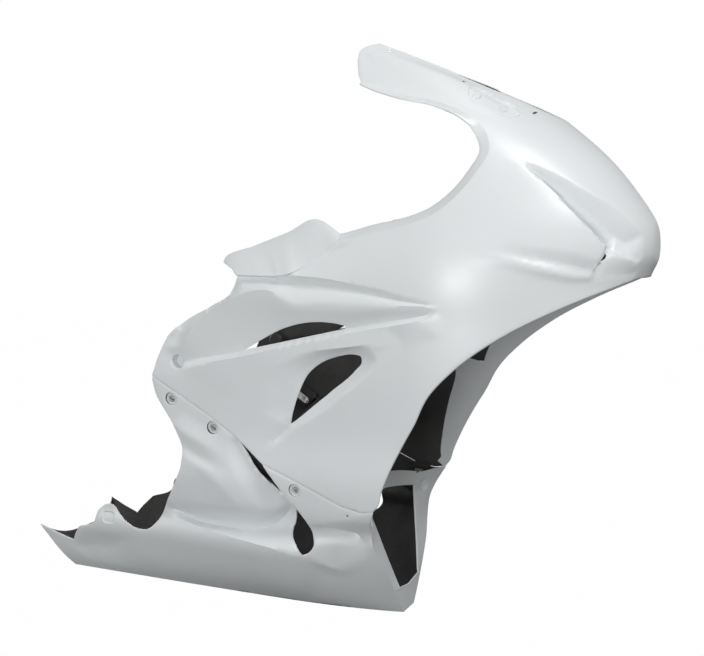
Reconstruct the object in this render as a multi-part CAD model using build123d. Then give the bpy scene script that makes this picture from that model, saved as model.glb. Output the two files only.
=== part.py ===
from build123d import *
import os
from math import hypot, sqrt

# A moulded race fairing in two shells, in millimetres.
# X points forward, Y to the left and Z up. The origin is halfway between the two frame cups.

# Moulding
SKIN = 3.0             # laminate thickness
SPLIT_GAP = 1.0        # hairline between the upper and the belly pan
WELD = 1.0             # depth to which a flange is laid into the skin
SIDE_REACH = 320.0     # half length of a cut made across the whole fairing

# The male plug, as horizontal slices: a half ellipse in front, straight toe-in behind.
# Each row: height, nose x, shoulder x, half width at the shoulder, toe-in per mm of length.
PLUG_SLICES = [
    (-455, 392, 154, 46, 0.010),
    (-441, 396, 154, 66, 0.020),
    (-405, 409, 154, 108, 0.040),
    (-355, 444, 154, 150, 0.070),
    (-310, 494, 154, 175, 0.085),
    (-281, 564, 194, 174, 0.085),
    (-250, 674, 304, 194, 0.070),
    (-215, 754, 404, 207, 0.055),
    (-115, 769, 424, 214, 0.050),
    (-15, 769, 424, 226, 0.045),
    (75, 766, 424, 233, 0.045),
    (145, 761, 424, 238, 0.045),
    (185, 777, 426, 235, 0.045),
    (225, 775, 428, 229, 0.045),
    (285, 740, 415, 220, 0.040),
    (345, 690, 390, 214, 0.030),
    (405, 621, 349, 209, 0.020),
    (445, 570, 314, 207, 0.010),
    (495, 504, 269, 204, 0.000),
    (545, 436, 224, 200, 0.000),
]
PLUG_REAR_X = -385

# Side outlines as (x, z)
KEEL = [(420, -455.2), (-307, -423), (-372, -295)]
WINDSCREEN_FRONT = (790, 330)
ARM_END = [(342, 443), (331, 480), (357, 522)]
COCKPIT = [(342, 443), (400, 424), (461, 411), (505, 396), (534, 376), (541, 350), (527, 322),
           (485, 273), (415, 229), (364, 217), (303, 208)]
FLAP_CREASE = [(303, 208), (258, 174), (215, 152), (123, 150)]
REAR_EDGE = [(123, 150), (108, 119), (73, 98), (18, 70), (-14, 45), (-32, 17), (-52, -26)]
SPLIT = [(-52, -26), (46, -84), (107, -125), (157, -168), (218, -191), (297, -226), (352, -231)]
FRONT_EDGE = [(352, -231), (381, -171), (404, -122), (429, -79), (450, -38), (493, 9), (555, 56),
              (651, 108), (750, 150)]
NOSE_FRONT_X = 800
UPPER_VENT = [(125, 24), (168, 48), (214, 69), (260, 79), (305, 77), (321, 70)]
LOWER_VENT = [(203, -101), (233, -31), (254, 0), (297, 20), (352, 30), (313, -24), (253, -67)]
LOWER_VENT_CORNER = 7.0
BELLY_RIM = [(-350, -337), (-307, -348), (-258, -350), (-243, -324)]
BELLY_TAB = [(-243, -324), (-214, -313), (-198, -290), (-178, -276), (-157, -288), (-140, -306),
             (-112, -312), (-85, -300), (-58, -275), (-40, -249)]
BULGE_REAR = [(-40, -249), (0, -176), (1, -158), (-13, -128), (-35, -85), (-52, -26)]
BELLY_FRONT_X = 356
SLIT_INNER = [(107, -125), (140, -166), (180, -212), (200, -251)]
TEARDROP = [(212, -243), (231, -271), (240, -297), (235, -316), (217, -325), (202, -303), (196, -283),
            (200, -251)]

# Spear ridge: at each station x, the heights of its root, its edge and its foot
SPEAR = [(172, 141, 126, 46), (222, 140, 114, 56), (320, 135, 110, 72), (470, 111, 108, 104)]
SPEAR_HEIGHT = 13.0
SPEAR_SINK = 1.0
SPEAR_ROOT = 25.0
SPEAR_TOE = 4.0

# Flare around the lower vent, as side outlines where it leaves the skin and where it meets the vent
FLARE_OUTER = [(196, -120), (172, -38), (252, -4), (316, 26), (388, 34), (350, -19), (228, -109)]
FLARE_INNER = [(205, -101), (228, -31), (252, 0), (297, 22), (352, 24), (313, -26), (219, -96)]
FLARE_DEPTH = 9.0
FLARE_CLEAR = 3.0

# Ledge of the belly pan: at each station x, where the hollow above it starts, its foot, the ridge, the depth
LEDGE = [(-70, -272, -280, -287, 1), (0, -264, -288, -301, 8), (62, -264, -293, -309, 14),
         (125, -252, -289, -318, 19), (185, -232, -268, -328, 20), (245, -250, -266, -345, 10),
         (300, -268, -281, -364, 5), (328, -286, -292, -372, 1)]
LEDGE_CLEAR = 1.5

# Ram-air mouth beside the bonnet: a wedge from its rear point to the front of the nose
SCOOP_POINT = (588, 176, 331)
SCOOP_MOUTH = [(745, 200, 172), (745, 72, 178), (815, 58, 232)]
SCOOP_POINT_SIZE = 6.0
INLET_PLACE = (701, 118, 214)
INLET_TOWARDS = (-0.71, 0, -0.71)
INLET_R = 12.0
INLET_REACH = 22.0

# Frame cups and mirror pockets
CUP_R = 13.5
CUP_FLOOR_SPAN = 376.0
MIRROR_PLACE = (532, 424)
MIRROR_PITCH = 44.0
MIRROR_TILT = -27.0
MIRROR_END_R = 13.0
MIRROR_DEPTH = 3.0
MIRROR_BOSS_R = 6.0
TAB_PLACE = (-180, -301)
TAB_PAD = 22.0
TAB_PAD_DEPTH = 2.0
TAB_PAD_CORNER = 6.0

# Flanges
COCKPIT_FLANGE = [3, 9, 15, 17, 17, 17, 17]    # width at each of the last points of the cockpit edge
COCKPIT_FLANGE_LEAN = 13.0
RETURN_BACK = 0.80
RETURN_IN = 0.60
RETURN_PROUD = 1.9     # how far its fold stands ahead of the panel's edge
RETURN = [(354, -224, 16), (381, -171, 34), (404, -122, 52), (429, -79, 67), (446, -46, 78),
          (448, -43, 26), (471, -12, 40), (521, 32, 58), (596, 80, 60)]
FLAP_ROOT = [(118, 222, 155), (170, 228, 150), (219, 230, 154), (258, 230, 176), (303, 227, 208)]
FLAP_EDGE = [(80, 190, 176), (140, 189, 199), (200, 189, 221), (256, 190, 241), (280, 204, 231)]

# Front frame of the belly pan
FRAME_ROOT = [(353, -236), (353, -262), (353, -330), (353, -403)]
FRAME_INNER = [(316, 165, -232), (316, 165, -257), (332, 104, -335), (349, 42, -409)]
BAR = [(-165, -226, -257), (-85, -213, -241), (0, -208, -236), (85, -213, -241), (165, -226, -257)]
CHIN_TOP = -407

# Windscreen screw holes as (x, y) from above
WINDSCREEN_HOLES = [(374, 168), (485, 131), (594, 62)]
WINDSCREEN_HOLE_R = 2.5

# Quarter-turn fasteners along the split line, as (x, z)
FASTENERS = {"rear": (-18, -66), "mid": (61, -112), "front": (215, -208)}
CLIP_PLACE = (309, -244)
CLIP_SET_IN = 8.0
CLIP_TAB_W = 30.0
DISH_R = 11.5
DISH_DEPTH = 4.5
HEAD_R = 5.8
HEAD_H = 2.8
HEAD_RIM = 0.7
HEAD_TOP_R = 3.6
HEAD_CLEAR = 0.3
SLOT_W = 1.7
SLOT_D = 1.3
SHANK_R = 3.0
SHANK_CLEAR = 0.4
WASHER_R = 6.5
WASHER_T = 0.8
JOGGLE_GAP = 1.4
JOGGLE_W = 40.0
JOGGLE_BELOW = 13.0
JOGGLE_RISER = 5.0
RECEPTACLE_L = 29.0
RECEPTACLE_W = 13.0
RECEPTACLE_T = 1.0
RECEPTACLE_CORNER = 4.0
COLLAR_R = 5.4
COLLAR_H = 1.2
PIN_R = 1.2
PIN_L = 9.0
RIVET_PITCH = 21.0
RIVET_R = 1.6
RIVET_HEAD_R = 3.0
RIVET_HEAD_H = 1.2
RIVET_TOP_R = 1.8
CLIP_W = 16.0
CLIP_L = 20.0
CLIP_T = 0.8
CLIP_SCREW_R = 2.6
CLIP_NUT_R = 4.5
CLIP_NUT_H = 4.0
ROUND_SIDES = 16       # faces around a small fastener
PIN_SIDES = 8


def slope_factor(index, column):
    """How much longer a horizontal inset is than the same inset square to a sloping wall."""
    low = PLUG_SLICES[max(index - 1, 0)]
    high = PLUG_SLICES[min(index + 1, len(PLUG_SLICES) - 1)]
    rate = (high[column] - low[column]) / (high[0] - low[0])
    return sqrt(1 + rate * rate)


def plug_form(inset):
    """The bare plug without its features, drawn in evenly by an inset."""
    slices = []
    for index, (z, nose, shoulder, half, toe) in enumerate(PLUG_SLICES):
        length = nose - shoulder - inset * slope_factor(index, 1)
        width = half - inset * slope_factor(index, 3)
        rear = width - toe * (shoulder - PLUG_REAR_X)
        outline = [
            EllipticalCenterArc((shoulder, 0), length, width, -90, arc_size=180),
            Line((shoulder, width), (PLUG_REAR_X, rear)),
            Line((PLUG_REAR_X, rear), (PLUG_REAR_X, -rear)),
            Line((PLUG_REAR_X, -rear), (shoulder, -width)),
        ]
        slices.append(Plane.XY.offset(z) * make_face(outline))
    return loft(slices, ruled=True)


def side_prism(*curves):
    """A closed side outline, cut across the whole width."""
    return extrude(Plane.XZ * make_face(list(curves)), SIDE_REACH, both=True)


def pair_of(sketch, pitch):
    """A sketch twice over, side by side at a pitch along its X axis."""
    return Pos(-pitch / 2, 0) * sketch + Pos(pitch / 2, 0) * sketch


def turned(radius):
    """Section of a small turned piece."""
    return RegularPolygon(radius, ROUND_SIDES)


def both_sides(solid):
    """A right-hand feature and its mirror image on the left."""
    return [solid, mirror(solid, about=Plane.XZ)]


BARE_PLUG = plug_form(0)


def half_width(x, z):
    """Half width of the plug at a point of the side view."""
    hits = BARE_PLUG.find_intersection_points(Axis((x, 0, z), (0, -1, 0)))
    return max(-point.Y for point, normal in hits)


def ribbon(roots, edges, ruled=False):
    """A laminate strip from points on the right-hand skin to its free edge."""
    roots = [Vector(*root) for root in roots]
    edges = [Vector(*edge) for edge in edges]
    sections = []
    last = len(roots) - 1
    for index, (root, edge) in enumerate(zip(roots, edges)):
        along = roots[min(index + 1, last)] - roots[max(index - 1, 0)]
        normal = along.cross(edge - root).normalized()
        if normal.Y < 0:
            normal = normal * -1
        wall = normal * SKIN
        sections.append(make_face(Polyline(root, edge, edge + wall, root + wall, close=True)))
    return loft(sections, ruled=ruled)


def right_side(points):
    """Side-view points laid on the right-hand skin, just inside its face."""
    return [(x, WELD - half_width(x, z), z) for x, z in points]


def hull_prism(inset):
    """Side outline of the hull below the rim: keel and sloping stern, drawn in by an inset."""
    front, heel, stern = (Vector(*point) for point in KEEL)
    fall = (stern - heel).normalized()
    up = Vector(0, 1)
    inward = Vector(fall.Y, -fall.X)
    heel_in = heel + (up + inward) * (inset / (1 + inward.Y))
    stern_in = stern + inward * inset
    front_in = front + up * inset
    top = PLUG_SLICES[-1][0]
    return side_prism(Polyline(front_in, heel_in, stern_in, (stern_in.X, top), (NOSE_FRONT_X, top),
                               (NOSE_FRONT_X, front_in.Y), close=True))


def spear(inset):
    """The ridge that runs forward from the shoulder of the side panel to a point."""
    sections = []
    for x, root, edge, foot in SPEAR:
        fade = min((SPEAR[-1][0] - x) / (SPEAR[-1][0] - SPEAR[1][0]), 1)
        rise = SPEAR_HEIGHT * fade - SPEAR_SINK * (1 - fade) - inset
        toe = -inset - SPEAR_TOE
        profile = [(root, -SPEAR_ROOT), (root, toe), (edge, rise), (foot, toe), (foot, -SPEAR_ROOT)]
        corners = [(x, -half_width(x, z) - out, z) for z, out in profile]
        sections.append(make_face(Polyline(*corners, close=True)))
    return loft(sections, ruled=True)


def flare(inset):
    """The funnel of air in front of the lower vent, between two levels of the flat part of the skin."""
    corner, top, front = (Vector(x, -half_width(x, z), z) for x, z in FLARE_OUTER[0:5:2])
    skin = Plane(corner, x_dir=front - corner, z_dir=(front - corner).cross(top - corner))
    across = Axis.Y.direction
    ends = []
    for outline, out in ((FLARE_OUTER, FLARE_CLEAR), (FLARE_INNER, -FLARE_DEPTH - inset)):
        level = skin.offset(out)
        corners = []
        for x, z in outline:
            start = Vector(x, 0, z)
            reach = (level.origin - start).dot(level.z_dir) / across.dot(level.z_dir)
            corners.append(start + across * reach)
        ends.append(make_face(Polyline(*corners, close=True)))
    return loft(ends, ruled=True)


def ledge(inset):
    """The hollow between the sides of the belly pan and its ridge."""
    sections = []
    for x, top, foot, ridge, depth in LEDGE:
        profile = [(top + inset, LEDGE_CLEAR), (foot, -depth - inset), (ridge - inset, LEDGE_CLEAR)]
        corners = [(x, -half_width(x, z) - out, z) for z, out in profile]
        sections.append(make_face(Polyline(*corners, close=True)))
    return loft(sections, ruled=True)


def scoop(inset):
    """The wedge of air in front of a ram-air mouth."""
    x, y, z = SCOOP_POINT
    size = SCOOP_POINT_SIZE
    rear = [(x, -y - size, z - size), (x, inset - y + size, z - size / 2), (x + size, -y, z + size)]
    (x0, y0, z0), (x1, y1, z1), (x2, y2, z2) = SCOOP_MOUTH
    front = [(x0, -y0, z0 - inset), (x1, inset - y1, z1 - inset), (x2, inset - y2, z2)]
    ends = [make_face(Polyline(*corners, close=True)) for corners in (rear, front)]
    return loft(ends, ruled=True)


def cup(x, z, radius, floor_y, inset):
    """A round blind recess in the right-hand skin."""
    place = Plane((x, -floor_y + inset, z), z_dir=(0, -1, 0))
    return extrude(place * Circle(radius + inset), SIDE_REACH)


def dish_floor(place):
    """Distance of a fastener dish's floor from the middle plane."""
    return half_width(*place) - DISH_DEPTH


def plug(inset):
    """The finished plug with every moulded feature, drawn in by an inset."""
    form = plug_form(inset) & hull_prism(inset)
    mirror_deep = plug_form(inset + MIRROR_DEPTH)
    tab_deep = plug_form(inset + TAB_PAD_DEPTH)
    pad = RectangleRounded(TAB_PAD + 2 * inset, TAB_PAD + 2 * inset, TAB_PAD_CORNER + inset)
    pad_plane = Plane((TAB_PLACE[0], 0, TAB_PLACE[1]), x_dir=(1, 0, 0), z_dir=(0, -1, 0))
    pad_cut = extrude(pad_plane * pad, SIDE_REACH)
    oval = Rot(0, 0, MIRROR_TILT) * SlotCenterToCenter(MIRROR_PITCH, 2 * (MIRROR_END_R + inset))
    bosses = Rot(0, 0, MIRROR_TILT) * pair_of(Circle(MIRROR_BOSS_R - inset), MIRROR_PITCH)
    oval_plane = Plane((MIRROR_PLACE[0], 0, MIRROR_PLACE[1]), x_dir=(1, 0, 0), z_dir=(0, -1, 0))
    oval_cut = extrude(oval_plane * (oval - bosses), SIDE_REACH)
    cuts = [scoop(inset), flare(inset), ledge(inset), pad_cut - tab_deep, oval_cut - mirror_deep]
    cuts.append(cup(0, 0, CUP_R, CUP_FLOOR_SPAN / 2, inset))
    cuts += [cup(*place, DISH_R, dish_floor(place), inset) for place in FASTENERS.values()]
    form += both_sides(spear(inset))
    for cut in cuts:
        form -= both_sides(cut)
    return form


def upper_outline():
    """Side view of the upper: everything in front of and above the split line, less its vents."""
    outline = side_prism(
        Spline(*ARM_END),
        Polyline(ARM_END[-1], WINDSCREEN_FRONT, (NOSE_FRONT_X, FRONT_EDGE[-1][1]), FRONT_EDGE[-1]),
        Spline(*reversed(FRONT_EDGE)),
        Polyline(*reversed(SPLIT)),
        Spline(*reversed(REAR_EDGE)),
        Polyline(*reversed(FLAP_CREASE)),
        Spline(*reversed(COCKPIT)),
    )
    upper_vent = side_prism(Spline(*UPPER_VENT), Line(UPPER_VENT[-1], UPPER_VENT[0]))
    triangle = make_face(Polyline(*LOWER_VENT, close=True))
    triangle = fillet(triangle.vertices(), LOWER_VENT_CORNER)
    return outline - upper_vent - extrude(Plane.XZ * triangle, SIDE_REACH, both=True)


def belly_outline():
    """Side view of the belly pan: everything below the split line, less its air slits."""
    split = [(x, z - SPLIT_GAP) for x, z in SPLIT]
    rear = BULGE_REAR[:-1] + [split[0]]
    below = KEEL[0][1] - SKIN
    outline = side_prism(
        Polyline(*BELLY_RIM),
        Spline(*BELLY_TAB),
        Spline(*rear),
        Polyline(*split, (BELLY_FRONT_X, split[-1][1]), (BELLY_FRONT_X, below), (PLUG_REAR_X, below),
                 (PLUG_REAR_X, BELLY_RIM[0][1]), BELLY_RIM[0]),
    )
    slit = side_prism(
        Spline(*SLIT_INNER),
        Spline(*reversed(TEARDROP)),
        Polyline(TEARDROP[0], SPLIT[3], (SPLIT[3][0], SPLIT[2][1]), SPLIT[2]),
    )
    return outline - slit


def cockpit_flange():
    """The lip turned in along the rider's edge of the side panel."""
    run = COCKPIT[-len(COCKPIT_FLANGE):]
    roots = right_side(run)
    edges = []
    for index, (x, z) in enumerate(run):
        x0, z0 = run[max(index - 1, 0)]
        x1, z1 = run[min(index + 1, len(run) - 1)]
        width = COCKPIT_FLANGE[index]
        reach = width / hypot(x1 - x0, z1 - z0)
        side = roots[index][1] + COCKPIT_FLANGE_LEAN * width / COCKPIT_FLANGE[-1]
        edges.append((x + (z1 - z0) * reach, side, z - (x1 - x0) * reach))
    return ribbon(roots, edges)


def return_flange():
    """The lip folded back inside the front edge of a side panel, with its width at each point."""
    roots = right_side([(x + RETURN_PROUD, z - RETURN_PROUD) for x, z, width in RETURN])
    edges = []
    for (x, y, z), (_, _, width) in zip(roots, RETURN):
        edges.append((x - RETURN_BACK * width, y + RETURN_IN * width, z))
    return ribbon(roots, edges, ruled=True)


def joggle_frame(place, set_in=0):
    """Axes of a fastener on the right-hand side: z inward from the dish floor, y towards the upper."""
    x, z = place
    ahead = next(i for i, point in enumerate(SPLIT) if point[0] > x)
    (x0, z0), (x1, z1) = SPLIT[ahead - 1], SPLIT[ahead]
    length = hypot(x1 - x0, z1 - z0)
    along = ((x0 - x1) / length, 0, (z0 - z1) / length)
    rise = ((x1 - x0) * (z0 - z) - (z1 - z0) * (x0 - x)) / length
    return Plane((x, set_in - dish_floor(place), z), x_dir=along, z_dir=(0, 1, 0)), rise


JOGGLE_FRONT = SKIN + JOGGLE_GAP
JOGGLE_BACK = JOGGLE_FRONT + SKIN
RECEPTACLE_BACK = JOGGLE_BACK + RECEPTACLE_T


def joggle(place, width, hole_r, rivets, set_in=0):
    """The stepped tab of the upper that lies behind the belly pan at a fastener."""
    frame, rise = joggle_frame(place, set_in)
    top = rise + SPLIT_GAP + JOGGLE_RISER
    plate = Pos(0, (top - JOGGLE_BELOW) / 2, JOGGLE_FRONT) * Rectangle(width, top + JOGGLE_BELOW)
    tab = extrude(plate, SKIN)
    riser_foot = set_in + 2 * DISH_DEPTH
    riser = Pos(0, top - JOGGLE_RISER / 2, -riser_foot) * Rectangle(width, JOGGLE_RISER)
    tab += extrude(riser, JOGGLE_FRONT + riser_foot)
    tab -= extrude(Pos(0, 0, JOGGLE_FRONT) * Circle(hole_r), SKIN)
    if rivets:
        tab -= extrude(Pos(0, 0, JOGGLE_FRONT) * pair_of(turned(RIVET_R), RIVET_PITCH), SKIN)
    return frame * tab


def rod(radius, start, end):
    """A small turned length along its frame's axis."""
    return extrude(Pos(0, 0, start) * turned(radius), end - start)


def dome(radius, top_radius, start, end):
    """A small crowned head from its rim to its flat top."""
    return loft([Pos(0, 0, start) * turned(radius), Pos(0, 0, end) * turned(top_radius)], ruled=True)


def stud():
    """Slotted crowned head, shank and cross pin."""
    seat = -HEAD_CLEAR
    rim = seat - HEAD_RIM
    top = seat - HEAD_H
    pin_z = RECEPTACLE_BACK + COLLAR_H + HEAD_CLEAR + PIN_R
    body = rod(HEAD_R, rim, seat) + dome(HEAD_R, HEAD_TOP_R, rim, top)
    body -= Pos(0, 0, top) * Box(3 * HEAD_R, SLOT_W, 2 * SLOT_D)
    body += rod(SHANK_R, seat, pin_z + 2 * PIN_R)
    pin = extrude(RegularPolygon(PIN_R, PIN_SIDES), PIN_L / 2, both=True)
    return body + Pos(0, 0, pin_z) * Rot(0, 90, 0) * pin


def washer():
    """Retaining washer against the back of the dish."""
    ring = turned(WASHER_R) - turned(SHANK_R + SHANK_CLEAR)
    return extrude(Pos(0, 0, SKIN) * ring, WASHER_T)


def receptacle():
    """Spring plate with its raised cam collar."""
    bore = turned(SHANK_R + SHANK_CLEAR)
    plate = Rectangle(RECEPTACLE_L, RECEPTACLE_W)
    plate = chamfer(plate.vertices(), RECEPTACLE_CORNER) - bore
    plate -= pair_of(turned(RIVET_R), RIVET_PITCH)
    body = extrude(Pos(0, 0, JOGGLE_BACK) * plate, RECEPTACLE_T)
    return body + extrude(Pos(0, 0, RECEPTACLE_BACK) * (turned(COLLAR_R) - bore), COLLAR_H)


def rivet():
    """One blind rivet through the joggle and the receptacle."""
    head_top = RECEPTACLE_BACK + RIVET_HEAD_H
    head = dome(RIVET_HEAD_R, RIVET_TOP_R, RECEPTACLE_BACK, head_top)
    return rod(RIVET_R, JOGGLE_FRONT, RECEPTACLE_BACK) + head


def clip():
    """Spring clip nut pushed over the lower edge of its joggle."""
    low = -JOGGLE_BELOW
    high = low + CLIP_L
    front, back = JOGGLE_FRONT, JOGGLE_BACK
    face = front - CLIP_T
    nut_end = back + CLIP_T + CLIP_NUT_H
    u_shape = Polyline((high, front), (low, front), (low, back), (high, back), (high, back + CLIP_T),
                       (low - CLIP_T, back + CLIP_T), (low - CLIP_T, face), (high, face), close=True)
    body = extrude(Plane.YZ * make_face(u_shape), CLIP_W / 2, both=True)
    body += rod(CLIP_NUT_R, back, nut_end)
    return body - rod(CLIP_SCREW_R, face, nut_end)


plug_out = plug(0)
plug_in = plug(SKIN)

upper = (plug_out & upper_outline()) - plug_in
flap_root = [(x, WELD - y, z) for x, y, z in FLAP_ROOT]
flap_edge = [(x, -y, z) for x, y, z in FLAP_EDGE]
rests = [cockpit_flange(), ribbon(flap_root, flap_edge, ruled=True), return_flange()]
inside = plug_form(WELD)
rests += [joggle(place, JOGGLE_W, WASHER_R, True) & inside for place in FASTENERS.values()]
rests.append(joggle(CLIP_PLACE, CLIP_TAB_W, CLIP_SCREW_R + SHANK_CLEAR, False, CLIP_SET_IN) & inside)
for piece in rests:
    upper += both_sides(piece)
inlet_x, inlet_y, inlet_z = INLET_PLACE
inlet_plane = Plane((inlet_x, -inlet_y, inlet_z), z_dir=INLET_TOWARDS)
upper -= both_sides(extrude(inlet_plane * Circle(INLET_R), INLET_REACH, both=True))
for x, y in WINDSCREEN_HOLES:
    drill = extrude(Plane.XY.offset(COCKPIT[-1][1]) * Pos(x, -y) * Circle(WINDSCREEN_HOLE_R), SIDE_REACH)
    upper -= both_sides(drill)

belly = (plug_out & belly_outline()) - plug_in
frame_root = right_side(FRAME_ROOT)
belly += both_sides(ribbon(frame_root, [(x, -y, z) for x, y, z in FRAME_INNER]))
bar_back = FRAME_INNER[0][0]
bar_front = bar_back + SKIN
bar_sections = [Polyline((bar_back, y, top), (bar_back, y, low), (bar_front, y, low), (bar_front, y, top),
                         close=True) for y, top, low in BAR]
belly += loft([make_face(section) for section in bar_sections])
chin_depth = CHIN_TOP - KEEL[0][1]
chin_place = Pos(BELLY_FRONT_X - WELD - SKIN / 2, 0, CHIN_TOP - chin_depth / 2)
chin = chin_place * Box(SKIN, 2 * SIDE_REACH, chin_depth)
belly += chin & plug_form(WELD) & hull_prism(WELD)
drills = [(place, SHANK_R) for place in FASTENERS.values()] + [(CLIP_PLACE, CLIP_SCREW_R)]
for (x, z), radius in drills:
    hole = Plane((x, 0, z), z_dir=(0, -1, 0)) * Circle(radius + SHANK_CLEAR)
    belly -= both_sides(extrude(hole, SIDE_REACH))

nodes = {"upper_fairing": upper, "belly_pan": belly}
hands = {"right": lambda solid: solid, "left": lambda solid: mirror(solid, about=Plane.XZ)}
for spot, place in FASTENERS.items():
    frame, rise = joggle_frame(place)
    for hand, turn in hands.items():
        nodes[f"stud_{hand}_{spot}"] = turn(frame * stud())
        nodes[f"washer_{hand}_{spot}"] = turn(frame * washer())
        nodes[f"receptacle_{hand}_{spot}"] = turn(frame * receptacle())
        pair = [turn(frame * Pos(side * RIVET_PITCH / 2, 0) * rivet()) for side in (-1, 1)]
        nodes[f"rivets_{hand}_{spot}"] = Compound(children=pair)
frame, rise = joggle_frame(CLIP_PLACE, CLIP_SET_IN)
for hand, turn in hands.items():
    nodes[f"clip_{hand}"] = turn(frame * clip())

os.makedirs("parts", exist_ok=True)
for name, solid in nodes.items():
    export_step(solid, f"parts/{name}.step")
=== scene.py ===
import math

import bpy
import numpy as np
from mathutils import Matrix, Vector, geometry, kdtree


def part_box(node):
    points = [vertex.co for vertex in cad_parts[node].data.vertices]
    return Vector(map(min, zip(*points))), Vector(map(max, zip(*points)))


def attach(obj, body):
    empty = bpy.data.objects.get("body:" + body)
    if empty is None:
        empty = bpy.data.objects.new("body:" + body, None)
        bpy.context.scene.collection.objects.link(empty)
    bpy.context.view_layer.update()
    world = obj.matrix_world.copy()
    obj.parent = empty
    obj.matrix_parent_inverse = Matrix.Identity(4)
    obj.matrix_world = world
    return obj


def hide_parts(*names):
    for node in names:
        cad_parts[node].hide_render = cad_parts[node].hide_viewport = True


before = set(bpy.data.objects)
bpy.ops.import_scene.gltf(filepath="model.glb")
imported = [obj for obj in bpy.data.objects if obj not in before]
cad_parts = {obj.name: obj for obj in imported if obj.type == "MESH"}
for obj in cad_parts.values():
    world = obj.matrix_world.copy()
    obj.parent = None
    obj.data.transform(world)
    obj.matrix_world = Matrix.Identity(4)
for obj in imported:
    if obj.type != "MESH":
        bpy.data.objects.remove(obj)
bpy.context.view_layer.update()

# Upper fairing: one moulding with the nose, ram-air mouths, windscreen arms and both side panels.
# It is fibreglass laid up in a mould, white gelcoat outside and bare black laminate inside,
# trimmed along its edges and folded in along the cockpit and the wheel opening.
MM = 0.001
SKIN = 3.0

# The mould in horizontal slices: height, nose x, shoulder x, half width there, toe-in per mm.
MOULD = np.array([
    (-455, 392, 154, 46, 0.010), (-441, 396, 154, 66, 0.020), (-405, 409, 154, 108, 0.040),
    (-355, 444, 154, 150, 0.070), (-310, 494, 154, 175, 0.085), (-281, 564, 194, 174, 0.085),
    (-250, 674, 304, 194, 0.070), (-215, 754, 404, 207, 0.055), (-115, 769, 424, 214, 0.050),
    (-15, 769, 424, 226, 0.045), (75, 766, 424, 233, 0.045), (145, 761, 424, 238, 0.045),
    (185, 777, 426, 235, 0.045), (225, 775, 428, 229, 0.045), (285, 740, 415, 220, 0.040),
    (345, 690, 390, 214, 0.030), (405, 621, 349, 209, 0.020), (445, 570, 314, 207, 0.010),
    (495, 504, 269, 204, 0.000), (545, 436, 224, 200, 0.000)], float)
NOSE_RUN = 460.0


def fair_curve(knots, values):
    """Smooth curve through values at rising knots, as a function of arrays."""
    knots = np.asarray(knots, float)
    values = np.asarray(values, float)
    gap = np.diff(knots)
    rise = np.diff(values) / gap
    inner = (gap[:-1] * rise[1:] + gap[1:] * rise[:-1]) / (gap[:-1] + gap[1:])
    slope = np.concatenate([rise[:1], inner, rise[-1:]])

    def at(place):
        place = np.clip(place, knots[0], knots[-1])
        i = np.clip(np.searchsorted(knots, place) - 1, 0, len(gap) - 1)
        t = (place - knots[i]) / gap[i]
        start = values[i] * (1 + 2 * t) * (1 - t) ** 2 + slope[i] * gap[i] * t * (1 - t) ** 2
        return start + values[i + 1] * t * t * (3 - 2 * t) + slope[i + 1] * gap[i] * t * t * (t - 1)

    return at


nose_at, shoulder_at, half_at, toe_at = (
    fair_curve(MOULD[:, 0], MOULD[:, column]) for column in range(1, 5))


def on_mould(s, z):
    """Place on the right-hand mould from the distance s around it and the height."""
    turn = np.clip(s / NOSE_RUN, 0, 1) * math.pi / 2
    back = np.maximum(s - NOSE_RUN, 0)
    x = shoulder_at(z) + (nose_at(z) - shoulder_at(z)) * np.cos(turn) - back
    return np.stack([x, toe_at(z) * back - half_at(z) * np.sin(turn), z], axis=-1)


def around(side):
    """Side-view places (x, z) as distances around the mould (s, z)."""
    x, z = np.asarray(side, float).T
    shoulder = shoulder_at(z)
    reach = np.clip((x - shoulder) / (nose_at(z) - shoulder), 0, 1)
    round_nose = NOSE_RUN * np.arccos(reach) * 2 / math.pi
    return np.stack([np.where(x > shoulder, round_nose, NOSE_RUN + shoulder - x), z], axis=-1)


def drawn(places, step=5.0, soft=False):
    """A line through places, straight or soft, stepped off evenly."""
    places = np.asarray(places, float)
    run = np.concatenate([[0], np.cumsum(np.linalg.norm(np.diff(places, axis=0), axis=1))])
    if not soft:
        marks = [np.linspace(a, b, max(int((b - a) / step), 1), endpoint=False)
                 for a, b in zip(run[:-1], run[1:])]
        marks = np.concatenate(marks + [run[-1:]])
        return np.stack([np.interp(marks, run, column) for column in places.T], axis=-1)
    marks = np.linspace(0, run[-1], max(int(run[-1] / step), 2) + 1)
    return np.stack([fair_curve(run, column)(marks) for column in places.T], axis=-1)


def within(points, loop):
    """Which flat points lie inside a closed loop."""
    inside = np.zeros(len(points), bool)
    px, py = points[:, 0], points[:, 1]
    for (ax, ay), (bx, by) in zip(loop, np.roll(loop, -1, axis=0)):
        crosses = (ay > py) != (by > py)
        cut = ax + (py - ay) * (bx - ax) / (by - ay if by != ay else 1)
        inside ^= crosses & (px < cut)
    return inside


def flat_tree(places):
    """Search tree over flat places."""
    tree = kdtree.KDTree(len(places))
    for i, place in enumerate(places):
        tree.insert((place[0], place[1], 0), i)
    tree.balance()
    return tree


RIM_CLEAR = 3.0
LONGEST_JOIN = 12.0
ROW_SHARE = 0.87
POINT_CLEAR = 0.62
WELD = 1e-5


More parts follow.
